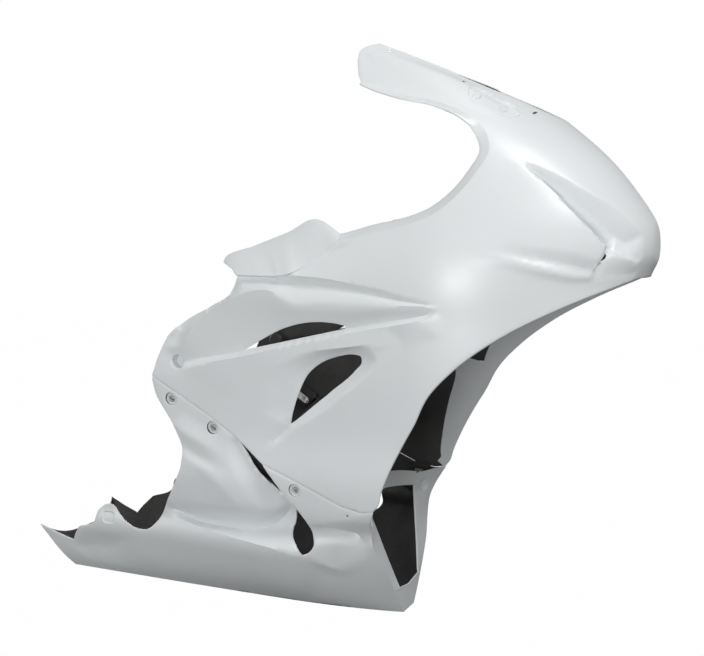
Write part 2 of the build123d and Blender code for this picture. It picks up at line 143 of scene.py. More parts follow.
def lay_sheet(edge, holes, creases, spacing):
    """Triangles over a flat pattern: its edge, holes and creases are kept as drawn."""

    def on_sheet(places):
        keep = within(places, edge)
        for hole in holes:
            keep &= ~within(places, hole)
        return keep

    fixed, joins, loops = [], [], []
    for line in [edge] + holes:
        first = len(fixed)
        fixed.extend(map(tuple, line))
        joins += [(i, i + 1) for i in range(first, len(fixed) - 1)] + [(len(fixed) - 1, first)]
        loops.append(range(first, len(fixed)))
    rim = flat_tree(fixed)
    for line in creases:
        last = None
        for place, free in zip(line, on_sheet(line)):
            if not free or rim.find((place[0], place[1], 0))[2] < RIM_CLEAR:
                last = None
                continue
            fixed.append(tuple(place))
            if last is not None and math.dist(place, fixed[last]) < LONGEST_JOIN:
                joins.append((last, len(fixed) - 1))
            last = len(fixed) - 1
    low, high = np.min(edge, axis=0), np.max(edge, axis=0)
    grid = []
    for k, row in enumerate(np.arange(low[1] + spacing / 2, high[1], spacing * ROW_SHARE)):
        across = np.arange(low[0] + spacing * (0.5 + 0.5 * (k % 2)), high[0], spacing)
        grid.append(np.stack([across, np.full(len(across), row)], axis=-1))
    grid = np.concatenate(grid)
    tree = flat_tree(fixed)
    grid = [tuple(p) for p in grid[on_sheet(grid)]
            if tree.find((p[0], p[1], 0))[2] > POINT_CLEAR * spacing]
    places = [Vector(p) for p in fixed + grid]
    verts, _, tris, origin, _, _ = geometry.delaunay_2d_cdt(places, joins, [], 0, WELD)
    verts = np.array([tuple(v) for v in verts])
    tris = np.array(tris)
    tris = tris[on_sheet(verts[tris].mean(axis=1))]
    found = {source: i for i, sources in enumerate(origin) for source in sources}
    return verts, tris, [[found[i] for i in loop] for loop in loops]


def relief(points, lines):
    """Height of a surface stretched over lines of (x, y, height)."""
    flat, joins = [], []
    for line in lines:
        first = len(flat)
        flat.extend(line)
        joins += [(i, i + 1) for i in range(first, len(flat) - 1)]
    flat = np.array(flat, float)
    places = [Vector(p[:2]) for p in flat]
    verts, _, tris, origin, _, _ = geometry.delaunay_2d_cdt(places, joins, [], 0, WELD)
    verts = np.array([tuple(v) for v in verts])
    height = np.array([np.mean(flat[sources, 2]) if sources else np.nan for sources in origin])
    result = np.zeros(len(points))
    for tri in tris:
        a, b, c = verts[list(tri)]
        area = (b[0] - a[0]) * (c[1] - a[1]) - (b[1] - a[1]) * (c[0] - a[0])
        if abs(area) < 1e-9:
            continue
        u = ((points[:, 0] - a[0]) * (c[1] - a[1]) - (points[:, 1] - a[1]) * (c[0] - a[0])) / area
        v = ((b[0] - a[0]) * (points[:, 1] - a[1]) - (b[1] - a[1]) * (points[:, 0] - a[0])) / area
        inside = (u >= -1e-6) & (v >= -1e-6) & (u + v <= 1 + 1e-6)
        h = height[list(tri)]
        result[inside] = h[0] + u[inside] * (h[1] - h[0]) + v[inside] * (h[2] - h[0])
    return np.nan_to_num(result)


def eased(values, tris, rounds, held=slice(0)):
    """Values over a mesh, evened out with their neighbours; held points keep theirs."""
    given = values.copy()
    pairs = np.concatenate([tris[:, [0, 1]], tris[:, [1, 2]], tris[:, [2, 0]]])
    pairs = np.concatenate([pairs, pairs[:, ::-1]])
    count = np.bincount(pairs[:, 0], minlength=len(values))
    for _ in range(rounds):
        total = np.zeros_like(values)
        np.add.at(total, pairs[:, 0], values[pairs[:, 1]])
        mean = total / np.maximum(count, 1).reshape((-1,) + (1,) * (values.ndim - 1))
        values = 0.5 * values + 0.5 * mean
        values[held] = given[held]
    return values


def normals_of(points, tris):
    """Outward normal at each point of a sheet."""
    a, b, c = points[tris[:, 0]], points[tris[:, 1]], points[tris[:, 2]]
    face = np.cross(b - a, c - a)
    total = np.zeros_like(points)
    for corner in range(3):
        np.add.at(total, tris[:, corner], face)
    return total / np.maximum(np.linalg.norm(total, axis=1, keepdims=True), 1e-12)


def facing_right(points, tris):
    """Turns triangles of a right-hand sheet so that they look away from the middle plane."""
    a, b, c = points[tris[:, 0]], points[tris[:, 1]], points[tris[:, 2]]
    turned = np.cross(b - a, c - a)[:, 1] > 0
    tris = tris.copy()
    tris[turned] = tris[turned][:, ::-1]
    return tris


def off_sheet(points, normals, run):
    """Direction that leaves a sheet at each point of a run along its edge."""
    line = points[run]
    along = np.gradient(line, axis=0)
    out = np.cross(normals[run], along)
    return out / np.linalg.norm(out, axis=1, keepdims=True)


def strip(points, tris, run, rows):
    """Adds rows of points beyond a run along a sheet's edge and joins them up."""
    ids = [np.array(run)]
    for row in rows:
        ids.append(np.arange(len(points), len(points) + len(row)))
        points = np.concatenate([points, row])
    faces = []
    for near, far in zip(ids[:-1], ids[1:]):
        faces.append(np.stack([near[:-1], near[1:], far[1:]], axis=-1))
        faces.append(np.stack([near[:-1], far[1:], far[:-1]], axis=-1))
    return points, np.concatenate([tris] + faces), ids


def fold(points, tris, run, angle, radius, width):
    """Folds a lip in over an edge, or out for an angle below 0: a round bend, then a flat width."""
    normals = normals_of(points, tris)
    out = off_sheet(points, normals, run)
    normals = normals[run]
    width = np.broadcast_to(width, len(run))[:, None]
    angle = np.radians(np.broadcast_to(angle, len(run)))[:, None]
    rows = []
    for share in (0.2, 0.4, 0.6, 0.8, 1.0):
        turn = np.abs(angle) * share
        rows.append(points[run] + out * radius * np.maximum(np.sin(turn), 0.2 * share)
                    - normals * np.sign(angle) * radius * (1 - np.cos(turn)))
    lean = out * np.cos(angle) - normals * np.sin(angle)
    rows += [rows[-1] + lean * width * share for share in (0.35, 0.7, 1.0)]
    return strip(points, tris, run, rows)


def mirrored(points, tris):
    """A right-hand half joined to its mirror image along the middle plane."""
    middle = np.abs(points[:, 1]) < 1e-6
    new = np.cumsum(~middle) - 1 + len(points)
    twin = np.where(middle, np.arange(len(points)), new)
    both = np.concatenate([points, points[~middle] * (1, -1, 1)])
    return both, np.concatenate([tris, twin[tris][:, ::-1]])


SHARP_EDGE = math.radians(38)


def laminate_shell(name, points, tris, thickness, outside, inside, painted_shade=False):
    """A sheet with its thickness: gelcoat face, laminate as painted shade on marked faces, rounded trim
    edge, laminate back.
    """
    normals = normals_of(points, tris)
    n = len(points)
    edges = np.concatenate([tris[:, [0, 1]], tris[:, [1, 2]], tris[:, [2, 0]]])
    known = set(map(tuple, edges))
    free = [(a, b) for a, b in known if (b, a) not in known]
    along = np.zeros_like(points)
    for a, b in free:
        along[[a, b]] += points[b] - points[a]
    rim = sorted({a for edge in free for a in edge})
    out = np.cross(along[rim], normals[rim])
    out /= np.maximum(np.linalg.norm(out, axis=1, keepdims=True), 1e-12)
    layers = [points, points - normals * thickness]
    place = {a: i for i, a in enumerate(rim)}
    half = thickness / 2
    for turn in np.radians((45, 90, 135)):
        layers.append(points[rim] + out * half * math.sin(turn)
                      - normals[rim] * half * (1 - math.cos(turn)))
    starts = np.cumsum([0, n, n, len(rim), len(rim)])
    rings = [lambda a: a, lambda a: starts[2] + place[a], lambda a: starts[3] + place[a],
             lambda a: starts[4] + place[a], lambda a: n + a]
    quads = [(near(b), near(a), far(a), far(b))
             for a, b in free for near, far in zip(rings[:-1], rings[1:])]
    faces = [tuple(t) for t in tris] + [tuple(t[::-1] + n) for t in tris] + quads
    mesh = bpy.data.meshes.new(name)
    mesh.from_pydata([tuple(p) for p in np.concatenate(layers) * MM], [], faces)
    mesh.materials.append(outside)
    mesh.materials.append(inside)
    slots = np.zeros(len(faces), np.int32)
    # Marked outer faces take the black laminate as painted shade.
    slots[:len(tris)] = painted_shade
    slots[len(tris):2 * len(tris)] = 1
    slots[2 * len(tris) + 3::4] = 1
    mesh.polygons.foreach_set("material_index", slots)
    mesh.polygons.foreach_set("use_smooth", np.ones(len(faces), bool))
    mesh.update()
    mesh.set_sharp_from_angle(angle=SHARP_EDGE)
    piece = bpy.data.objects.new(name, mesh)
    bpy.context.scene.collection.objects.link(piece)
    return piece


# Side-view outlines as (x, z), and lines over the bare mould as (x, z, height).
WINDSCREEN = [(357, 520.8), (402, 503), (453, 482.5), (506, 459), (557, 435.5), (604, 413), (621, 405)]
ARM_END = [(337, 460), (333, 468), (330, 484), (329, 499), (331, 509), (343, 517), (357, 520.8)]
COCKPIT = [(307, 207), (356, 219), (403, 228), (435, 237), (462, 249), (480, 262), (501, 282),
           (516, 301), (527, 318), (536, 334), (540, 348), (538, 363), (531, 378), (521, 391),
           (505, 404), (483, 416), (459, 425), (399, 440), (337, 460)]
FLAP_ROOT = [(123, 150), (170, 149), (215, 152), (258, 174), (307, 207)]
REAR_EDGE = [(-52, -26, 0), (-32, 17, -4), (-14, 45, -7), (18, 70, -9), (73, 98, -9),
             (108, 119, -9), (123, 150, -7)]
SPLIT = [(353, -231), (335, -234), (297, -226), (218, -191), (157, -168), (107, -125), (46, -84),
         (-52, -26)]
FRONT_EDGE = [(750, 150), (651, 108), (555, 56), (493, 9), (450, -38), (429, -79), (404, -122), (381, -167),
              (367, -202), (362, -220), (353, -231)]
UPPER_VENT = [(125, 24), (168, 48), (214, 69), (260, 79), (290, 79), (308, 76.5), (318, 73),
              (320, 70.5), (316, 68)]
LOWER_VENT = [(208, -98, -5), (213, -78, -4), (225, -46, -5), (247, -7, -8), (274, 13, -10),
              (303, 23, -11), (328, 27, -11), (340, 24, -11), (342, 16, -11), (328, -3, -10),
              (290, -35, -9), (252, -65, -8), (220, -90, -6)]
FRAME_CUP_R = 13.5
FRAME_CUP_FLOOR = 188.0
PANEL_LINES = [
    [(220, 153, 3), (283, 149, 2), (354, 137, 1), (422, 121, 0), (462, 113.5, 0)],
    [(130, 143, -6), (187, 142, -6), (215, 139, -7), (283, 136, -7), (354, 128, -6),
     (422, 115, -3.5), (464, 110, 0)],
    [(14, 26, 1), (20, 37, 3), (46, 70, 5), (86, 98, 6), (133, 120, 8), (172, 129, 10), (194, 127, 11),
     (209, 120, 12), (220, 114, 13), (282, 112, 13), (353, 111, 11), (422, 109.5, 5), (462, 107.5, 1),
     (473, 105, 0)],
    [(18, 2, -3), (124, 23, -5), (205, 42, -5), (322, 69, -5), (387, 82, -5), (438, 91, -3), (464, 98, -1),
     (473, 103, 0)],
    [(13, -14, 0), (40, -4, 2), (124, 15, 4), (243, 44, 4), (352, 68, 4), (438, 85, 3), (464, 92, 1),
     (473, 97, 0)],
    [(149, -18, 1), (204, 8, 3), (257, 29, 4), (315, 39, 5), (358, 45, 5), (377, 45, 4)],
    [(380, 34, 2), (368, 12, 2), (346, -12, 2), (312, -39, 2), (274, -69, 2), (220, -102, 1),
     (192, -125, 0.5), (164, -146, 0)],
    [(203, -105, -5), (188, -118, -4), (166, -139, -0.5)],
    [(192, -95, 0), (180, -108, 0), (158, -132, 0)],
    [(232, 158, -2), (262, 171, -4), (300, 196, -3), (340, 205, 0)],
]
PANEL_FLATS = [
    [(60, -40), (110, -60), (160, -75)], [(-40, -26), (0, -24), (30, -26)],
    [(410, 60), (420, 30), (400, -20), (330, -100)], [(-52, -26), (-20, -45), (150, -165)],
    [(160, -170), (352, -231)], [(490, 120), (490, 100), (480, 60)], [(480, 135), (420, 145), (350, 175)],
]
MOUTH_CREST = [(588, 331), (619, 320), (649, 305), (685, 283), (716, 265), (734, 251), (749, 234),
               (764, 213)]
MOUTH_EDGE = [(588, 329), (604, 315), (632, 291), (660, 262), (690, 231), (708, 210), (717, 200)]
MOUTH_DEPTH = np.array([0, 8, 17, 26, 33, 33, 28], float)
MOUTH_TUCK = (5, -1, 0)
MOUTH_MIDDLE = (0.55, 0.45)
MOUTH_CHEEK = [(764, 213), (767, 200), (756, 178)]
SHELF = [(716, 191), (731, 187), (752, 176)]
SHELF_RISE = (-7, -5, -1)
SHELF_FOOT = (-21, -14, -3)
SHELF_SHIFT = (1, 4, 0)
PANEL_TIP = [(717, 200), (714, 193), (705, 178), (695, 163)]
TIP_FOOT = (-9, -7, -3)
TIP_SHIFT = (-3, 0, 0)
LIP_CORNER = [(752, 174), (753, 166), (750, 156)]
LIP_HOLLOW = [(700, 157), (724, 157), (745, 157)]
LOWER_CREASE = [(695, 163, -3), (665, 172, -4), (632, 180, -4), (595, 187, -3), (559, 196, -2),
                (520, 208, 0)]
LOWER_BEAD = [(520, 190, 0), (581, 180, 2), (630, 166, 3), (665, 157, 3), (690, 154, 2)]
NOSE_FLATS = [
    [(500, 225), (560, 215), (620, 200), (680, 190)], [(690, 148), (720, 150), (750, 151)],
    [(500, 180), (580, 165), (660, 145)], [(560, 340), (570, 310), (600, 280), (640, 240), (670, 215)],
    [(590, 345), (640, 325), (700, 295), (740, 262)], [(772, 215), (776, 200), (765, 165)],
]
INLET = [(714.5, 193), (711, 186), (705, 176.5), (710.5, 176), (716, 181), (719, 188), (718, 192)]
SCREEN_CREASE = [(332, 507, 0), (344, 506, 2), (370, 498, 4), (411, 483, 5), (448, 470, 5),
                 (484, 455, 4), (525, 433, 2), (560, 410, 0)]
SCREEN_EDGE = [(357, 520.5, -1), (440, 487.5, -2), (500, 461.5, -2), (560, 434, 0)]
SCREEN_FLAT = [(335, 478), (400, 455), (480, 425), (560, 392)]
MIRROR_POCKET = [(493, 449), (504, 451), (526, 441), (553, 427), (566, 416), (573, 408), (570, 405),
                 (560, 402), (532, 416), (498, 432)]
MIRROR_DEPTH = 3.0
MIRROR_BOSSES = [(508, 437), (548, 417)]
MIRROR_BOSS_R = 5.0
MIRROR_BOSS_TOP = -1.0
POCKET_FLOOR = (0.94, 0.9)
SCREEN_HOLES = [(374, 509), (485, 460), (588, 413)]
SCREEN_HOLE_R = 3.5
UPPER_SPACING = 4.4
CRISP_WITHIN = 0.4
MIDDLE_WITHIN = 1e-4
WIDTH_LIMIT = (232.0, 239.4)
LENGTH_LIMIT = (768.0, 776.4)


def circle(middle, radius, count):
    """A ring of side-view places."""
    turn = np.linspace(0, 2 * math.pi, count, endpoint=False)
    return np.stack([middle[0] + radius * np.cos(turn), middle[1] + radius * np.sin(turn)], axis=-1)


def raised(line, height=None, step=4.0, soft=True):
    """A side-view line with a height, or heights along it, as (s, z, height)."""
    line = np.array(line, float)
    if height is not None:
        line = np.column_stack([line, np.broadcast_to(height, len(line))])
    line = drawn(line, step, soft)
    return np.column_stack([around(line[:, :2]), line[:, 2]])


lip_end, lip_z = around(FRONT_EDGE[:1])[0]
runs = {
    "lip": np.stack([np.linspace(0, 1, 20)[:-1] * lip_end, np.full(19, lip_z)], axis=-1),
    "front": around(drawn(FRONT_EDGE, soft=True))[:-1],
    "split": around(drawn(SPLIT))[:-1],
    "rear": raised(REAR_EDGE)[:-1, :2],
    "flap": around(drawn(FLAP_ROOT, soft=True))[:-1],
    "cockpit": around(drawn(COCKPIT, soft=True))[:-1],
    "arm_end": around(drawn(ARM_END, 3.0, soft=True))[:-1],
    "windscreen": around(drawn(WINDSCREEN))[:-1],
    "middle": np.stack([np.zeros(50), np.linspace(WINDSCREEN[-1][1], lip_z, 51)[:-1]], axis=-1),
}
edge = np.concatenate(list(runs.values()))
vent_top = drawn(UPPER_VENT, soft=True)
upper_vent = np.concatenate([vent_top, drawn([UPPER_VENT[-1], UPPER_VENT[0]])[1:-1]])
lower_vent = raised(LOWER_VENT + LOWER_VENT[:1])
frame_cup = around(circle((0, 0), FRAME_CUP_R, 32))
holes = [around(upper_vent), lower_vent[:-1, :2], frame_cup, around(INLET)]
holes += [around(circle(place, SCREEN_HOLE_R, 10)) for place in SCREEN_HOLES]

panel_creases = [raised(line) for line in PANEL_LINES]
panel_lines = panel_creases + [lower_vent, raised(REAR_EDGE, step=10)]
panel_lines += [raised(line, 0, soft=False) for line in PANEL_FLATS]

mouth_crest = raised(MOUTH_CREST, 0)
mouth_floor = raised(MOUTH_EDGE, -MOUTH_DEPTH) - MOUTH_TUCK
share = np.linspace(0, 1, 24)
floor_side, crest_side = (
    np.stack([np.interp(share, np.linspace(0, 1, len(line)), column) for column in line.T], axis=-1)
    for line in (mouth_floor, mouth_crest))
mouth_middle = floor_side * MOUTH_MIDDLE[0] + crest_side * MOUTH_MIDDLE[1]
mouth_creases = [
    mouth_crest, raised(MOUTH_EDGE, 1), mouth_floor, mouth_middle, raised(PANEL_TIP, 1)[2:],
    raised(SHELF, SHELF_RISE), raised(SHELF, SHELF_FOOT) + SHELF_SHIFT,
    raised(PANEL_TIP[1:], TIP_FOOT) + TIP_SHIFT, raised(MOUTH_CHEEK, 0), raised(LIP_CORNER, 0),
    raised(LIP_HOLLOW, -2), raised(LOWER_CREASE), raised(LOWER_BEAD)]
mouth_lines = mouth_creases + [raised(line, 0) for line in NOSE_FLATS]

pocket = drawn(MIRROR_POCKET + MIRROR_POCKET[:1], 3.0, soft=True)
pocket_floor = pocket.mean(axis=0) + (pocket - pocket.mean(axis=0)) * POCKET_FLOOR
pocket_lines = [raised(pocket, 0, 3.0), raised(pocket_floor, -MIRROR_DEPTH, 3.0)]
for place in MIRROR_BOSSES:
    for grow, rise in ((1.2, -MIRROR_DEPTH), (0, MIRROR_BOSS_TOP), (-2.4, MIRROR_BOSS_TOP)):
        ring = circle(place, MIRROR_BOSS_R + grow, 16)
        pocket_lines.append(raised(np.concatenate([ring, ring[:1]]), rise, 2.5))
screen_lines = [raised(SCREEN_CREASE), raised(SCREEN_EDGE), raised(SCREEN_FLAT, 0)]
creases = [line[:, :2] for line in panel_creases + mouth_creases + pocket_lines + screen_lines[:1]]


def on_lines(flat, lines):
    """Which points of a flat pattern lie on lines that stay crisp."""
    crisp = np.concatenate(lines)[:, :2]
    return np.array([np.min(np.hypot(*(crisp - place).T)) < CRISP_WITHIN for place in flat])


def edge_spans(runs, loop):
    """The named runs along a sheet's edge as lists of its points, both ends included."""
    spans, first = {}, 0
    for label, line in runs.items():
        spans[label] = [loop[i % len(loop)] for i in range(first, first + len(line) + 1)]
        first += len(line)
    return spans


def eased_limit(values, start, limit):
    """Values that bend over past a start and never pass a limit."""
    over = np.maximum(values - start, 0)
    return np.where(values > start, start + (limit - start) * np.tanh(over / (limit - start)), values)


flat, tris, loops = lay_sheet(edge, holes, creases, UPPER_SPACING)
flat[np.abs(flat[:, 0]) < MIDDLE_WITHIN, 0] = 0
middle_line = flat[:, 0] == 0
points = on_mould(flat[:, 0], flat[:, 1])
points[middle_line, 1] = 0
tris = facing_right(points, tris)
lift = eased(relief(flat, panel_lines), tris, 2, on_lines(flat, panel_creases[:-1]))
lift += eased(relief(flat, mouth_lines) + relief(flat, screen_lines), tris, 1) + relief(flat, pocket_lines)
points = points + normals_of(points, tris) * lift[:, None]
points[:, 1] = -eased_limit(-points[:, 1], *WIDTH_LIMIT)
points[:, 0] = eased_limit(points[:, 0], *LENGTH_LIMIT)
points[middle_line, 1] = 0
spans = edge_spans(runs, loops[0])


def sunk_cup(points, tris, ring, floor_y, bend, bore=0.02):
    """Walls and flat floor of a round recess, from the ring of its rim to a bore in its floor."""
    ring = list(ring) + [ring[0]]
    rim = points[ring]
    middle = rim[:-1].mean(axis=0)
    inward = (middle - rim) * (1, 0, 1)
    inward /= np.linalg.norm(inward, axis=1, keepdims=True)
    rows = []
    for turn in np.radians((30, 60, 90)):
        rows.append(rim + inward * bend * math.sin(turn) + np.array((0, bend * (1 - math.cos(turn)), 0)))
    wall = rows[-1].copy()
    wall[:, 1] = floor_y - 1.0
    rows.append(wall)
    for share in (0.94, 0.5 + bore / 2, bore):
        row = middle + (wall - middle) * share
        row[:, 1] = floor_y
        rows.append(row)
    points, tris, ids = strip(points, tris, ring, rows)
    for row in ids[1:]:
        tris[tris == row[-1]] = row[0]
    return points, tris


# The folded edges as height and lean in degrees, or height and width.
FRAME_CUP_BEND = 2.0
COCKPIT_LEAN = np.array([(300, 42), (375, 30), (430, -38)], float)
COCKPIT_LIP = np.array([(207, 15), (222, 21), (246, 21), (280, 18), (330, 16), (361, 15), (404, 13),
                        (440, 11), (452, 9), (460, 4)], float)
COCKPIT_BEND = 2.5
WHEEL_LIP = np.array([(-224, 16), (-171, 34), (-122, 52), (-79, 67), (-46, 78), (-43, 26), (-12, 40),
                      (32, 58), (80, 60), (108, 40), (150, 8)], float)
WHEEL_LEAN = 143
WHEEL_BEND = 3.0
points, tris = sunk_cup(points, tris, loops[3], -FRAME_CUP_FLOOR, FRAME_CUP_BEND)
cockpit_z = points[spans["cockpit"]][:, 2]
lean, width = (np.interp(cockpit_z, *table.T) for table in (COCKPIT_LEAN, COCKPIT_LIP))
points, tris, cockpit_rows = fold(points, tris, spans["cockpit"], lean, COCKPIT_BEND, width)
width = np.interp(points[spans["front"]][:, 2], *WHEEL_LIP.T)
points, tris, _ = fold(points, tris, spans["front"], WHEEL_LEAN, WHEEL_BEND, width)

# The flap beside the tank leans in from the top of the panel, and its rear half overhangs the panel.
FLAP_EDGE = [(100, -206, 165), (88, -202, 171), (91, -200, 179), (146, -200, 199), (207, -203, 221),
             (264, -208, 241), (287, -212, 230)]
FLAP_PLACES = [0, 0.04, 0.09, 0.3, 0.56, 0.85, 0.95, 1]
FLAP_STEP = 7.0
FLAP_FADE = (0.25, 0.5)
FLAP_BEND = [(0.5, 0.02, 0.3), (0.9, 0.06, 0.6), (1.08, 0.25, 1.2), (1.0, 0.5, 3)]
flap_run = spans["flap"]
flap_root = points[flap_run]
place = np.linspace(0, 1, len(flap_run))
flap_corners = np.array(FLAP_EDGE + [tuple(points[cockpit_rows[-1][0]])], float)
flap_edge = np.stack([fair_curve(FLAP_PLACES, column)(place) for column in flap_corners.T], axis=-1)
fade = np.clip((place - FLAP_FADE[0]) / FLAP_FADE[1], 0, 1)
step = FLAP_STEP * (0.5 + 0.5 * np.cos(fade * math.pi))[:, None]
lean = (flap_edge - flap_root) / np.linalg.norm(flap_edge - flap_root, axis=1, keepdims=True)
rows = [flap_root + step * (0, -out, up) + lean * rise for out, up, rise in FLAP_BEND]
rows += [rows[3] + (flap_edge - rows[3]) * share for share in (0.2, 0.4, 0.6, 0.8, 1)]
points, tris, _ = strip(points, tris, flap_run, rows)
points, tris = mirrored(points, tris)

# Wear that every finish shares: clouds of lighter and darker tone, and a fine grain in gloss and height.
surface_wear = bpy.data.node_groups.new("surface_wear", "ShaderNodeTree")
for label, kind, value in (("Scale", "NodeSocketFloat", 40.0), ("Cloud", "NodeSocketFloat", 3.0),
                           ("Light", "NodeSocketColor", (1, 1, 1, 1)),
                           ("Dark", "NodeSocketColor", (0, 0, 0, 1)),
                           ("Smooth", "NodeSocketFloat", 0.3), ("Rough", "NodeSocketFloat", 0.5)):
    socket = surface_wear.interface.new_socket(name=label, in_out="INPUT", socket_type=kind)
    socket.default_value = value
for label, kind in (("Color", "NodeSocketColor"), ("Roughness", "NodeSocketFloat"),
                    ("Height", "NodeSocketFloat")):
    surface_wear.interface.new_socket(name=label, in_out="OUTPUT", socket_type=kind)
nodes, links = surface_wear.nodes, surface_wear.links
given, result = nodes.new("NodeGroupInput"), nodes.new("NodeGroupOutput")
place = nodes.new("ShaderNodeTexCoord")
fine, cloud = nodes.new("ShaderNodeTexNoise"), nodes.new("ShaderNodeTexNoise")
fine.inputs["Detail"].default_value = 4.0
cloud.inputs["Detail"].default_value = 6.0
spread = nodes.new("ShaderNodeMapRange")
spread.inputs["From Min"].default_value = 0.35
spread.inputs["From Max"].default_value = 0.68
tone, sheen = nodes.new("ShaderNodeMix"), nodes.new("ShaderNodeMix")
tone.data_type = "RGBA"
links.new(place.outputs["Object"], fine.inputs["Vector"])
links.new(place.outputs["Object"], cloud.inputs["Vector"])
links.new(given.outputs["Scale"], fine.inputs["Scale"])
links.new(given.outputs["Cloud"], cloud.inputs["Scale"])
links.new(cloud.outputs["Fac"], spread.inputs["Value"])
links.new(spread.outputs["Result"], tone.inputs["Factor"])
links.new(given.outputs["Light"], tone.inputs["A"])
links.new(given.outputs["Dark"], tone.inputs["B"])
links.new(fine.outputs["Fac"], sheen.inputs["Factor"])
links.new(given.outputs["Smooth"], sheen.inputs["A"])
links.new(given.outputs["Rough"], sheen.inputs["B"])
links.new(tone.outputs["Result"], result.inputs["Color"])
links.new(sheen.outputs["Result"], result.inputs["Roughness"])
links.new(fine.outputs["Fac"], result.inputs["Height"])
BUMP_HEIGHT = 0.0006


def finish(name, light, dark, smooth, rough, scale, cloud, bump, metal=0.0):
    """A material whose colour, gloss and fine relief vary over the surface."""
    material = bpy.data.materials.new(name)
    material.use_nodes = True
    nodes, links = material.node_tree.nodes, material.node_tree.links
    wear = nodes.new("ShaderNodeGroup")
    wear.node_tree = surface_wear
    for label, value in (("Scale", scale), ("Cloud", cloud), ("Smooth", smooth), ("Rough", rough),
                         ("Light", (*light, 1)), ("Dark", (*dark, 1))):
        wear.inputs[label].default_value = value
    relief_node = nodes.new("ShaderNodeBump")
    relief_node.inputs["Strength"].default_value = bump
    relief_node.inputs["Distance"].default_value = BUMP_HEIGHT
    shader = nodes["Principled BSDF"]
    shader.inputs["Metallic"].default_value = metal
    links.new(wear.outputs["Color"], shader.inputs["Base Color"])
    links.new(wear.outputs["Roughness"], shader.inputs["Roughness"])
    links.new(wear.outputs["Height"], relief_node.inputs["Height"])
    links.new(relief_node.outputs["Normal"], shader.inputs["Normal"])
    return material


gelcoat = finish("white_gelcoat", light=(0.80, 0.83, 0.845), dark=(0.77, 0.80, 0.81),
                 smooth=0.26, rough=0.38, scale=260.0, cloud=4.0, bump=0.05)
laminate = finish("black_laminate", light=(0.012, 0.012, 0.012), dark=(0.055, 0.053, 0.050),
                  smooth=0.35, rough=0.75, scale=180.0, cloud=9.0, bump=0.5)

upper = laminate_shell("upper_shell", points, tris, SKIN, gelcoat, laminate)
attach(upper, "fairing")
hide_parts("upper_fairing")

# Belly pan: a one-piece trough under the engine, with a low stern and tabs behind, a bulge on each side
# that stands up behind its air slit, and a frame with an arched bar across the front.
# It is the same laminate as the upper and is trimmed to meet it along the split.
SPLIT_GAP = 3.5
BELLY_SPACING = 4.8
HEEL = (-307.0, -423.0)
KEEL_FRONT = (350.0, -452.4)
BELLY_FRONT = [(356, -234), (343, -260), (337, -296), (345, -354), (349, -407), KEEL_FRONT]
BELLY_RIM = [(-350, -338), (-316, -352), (-282, -364), (-272, -349), (-256, -331)]
BELLY_TAB = [(-256, -331), (-216, -315), (-207, -292), (-194, -282), (-178, -280), (-164, -292),
             (-144, -308), (-125, -317), (-98, -317), (-75, -298), (-59, -274)]
BULGE_REAR = [(-59, -274), (-27, -226), (-4, -181), (-1, -161), (-11, -122), (-28, -94), (-47, -60),
              (-53, -29)]
SLIT_REAR = [(106, -128, -4), (124, -156, -9), (137, -180, -13), (159, -208, -18), (181, -230, -23),
             (196, -248, -27), (197, -268, -24), (195, -288, -8), (206, -309, 2), (216, -325, 6)]
SLIT_FRONT = [(216, -325, 6), (230, -319, 4), (239, -307, 2), (238, -292, 0), (231, -266, 0),
              (214, -239, 0), (202, -227, 0), (157, -170, 0)]
BULGE_FOOT = [(-50, -271, -2), (-39, -276, -6), (-2, -288, -12), (58, -292, -16), (105, -292, -18),
              (150, -284, -20), (176, -272, -23), (189, -260, -25)]
BULGE_SKIRT = [(-40, -264, 0), (-2, -276, -1), (58, -280, -2), (105, -279, -3), (148, -270, -6),
               (172, -256, -12)]
BULGE_CREST = [(11, -170, 1), (52, -192, 4), (80, -218, 5), (104, -246, 2)]
BULGE_TURN = [(76, -146, 0), (96, -184, 0), (118, -222, -1), (136, -244, -3)]
UPRIGHT = [(-9, -119, 6), (23, -132, 6), (56, -149, 3), (75, -160, 0)]
UPRIGHT_FOOT = [(0, -150, -3), (30, -166, -3), (70, -180, 0)]
RIDGE = [(-60, -279, 0), (-14, -291, 3), (48, -302, 6), (107, -308, 8), (162, -313, 9), (205, -322, 9)]
RIDGE_FRONT = [(238, -334, 6), (256, -342, 6), (276, -353, 3), (291, -363, 0)]
UNDERCUT = [(249, -268, 0), (268, -271, 0), (296, -275, 0), (318, -282, 0), (330, -295, 0)]
UNDERCUT_FOOT = [(249, -273, -3), (268, -277, -9), (294, -282, -12), (312, -289, -11), (321, -299, -4)]
TAIL_CREASE = [(-290, -376, 0), (-272, -375, -4), (-234, -373, -6), (-200, -368, -6), (-158, -344, -2)]
BELLY_FLATS = [
    [(-340, -350), (-320, -360), (-280, -385)], [(-300, -405), (-100, -412), (100, -428), (300, -438)],
    [(336, -256), (330, -305), (338, -360), (342, -420)], [(232, -250), (270, -256), (330, -262)],
    [(-240, -335), (-150, -326), (-90, -322)],
    [(240, -360), (280, -385)], [(-30, -240), (0, -215), (30, -205)], [(-25, -70), (40, -110), (85, -130)],
]
TAB_PAD = (-184, -303)
TAB_PAD_HALF = (13.5, 11.5)
TAB_PAD_DEPTH = 2.5
TAB_PAD_WALL = 2.2
FASTENERS = {"rear": (-18, -66), "mid": (61, -112), "front": (215, -208)}
CLIP_SCREW = (309, -244)
DISH_R = 11.5
DISH_DEPTH = 4.5
DISH_BEND = 0.6
STUD_BORE_R = 3.4
CLIP_BORE_R = 3.0


def half_width(side):
    """Half width of the mould at side-view places."""
    flat = around(side)
    return -on_mould(flat[:, 0], flat[:, 1])[:, 1]


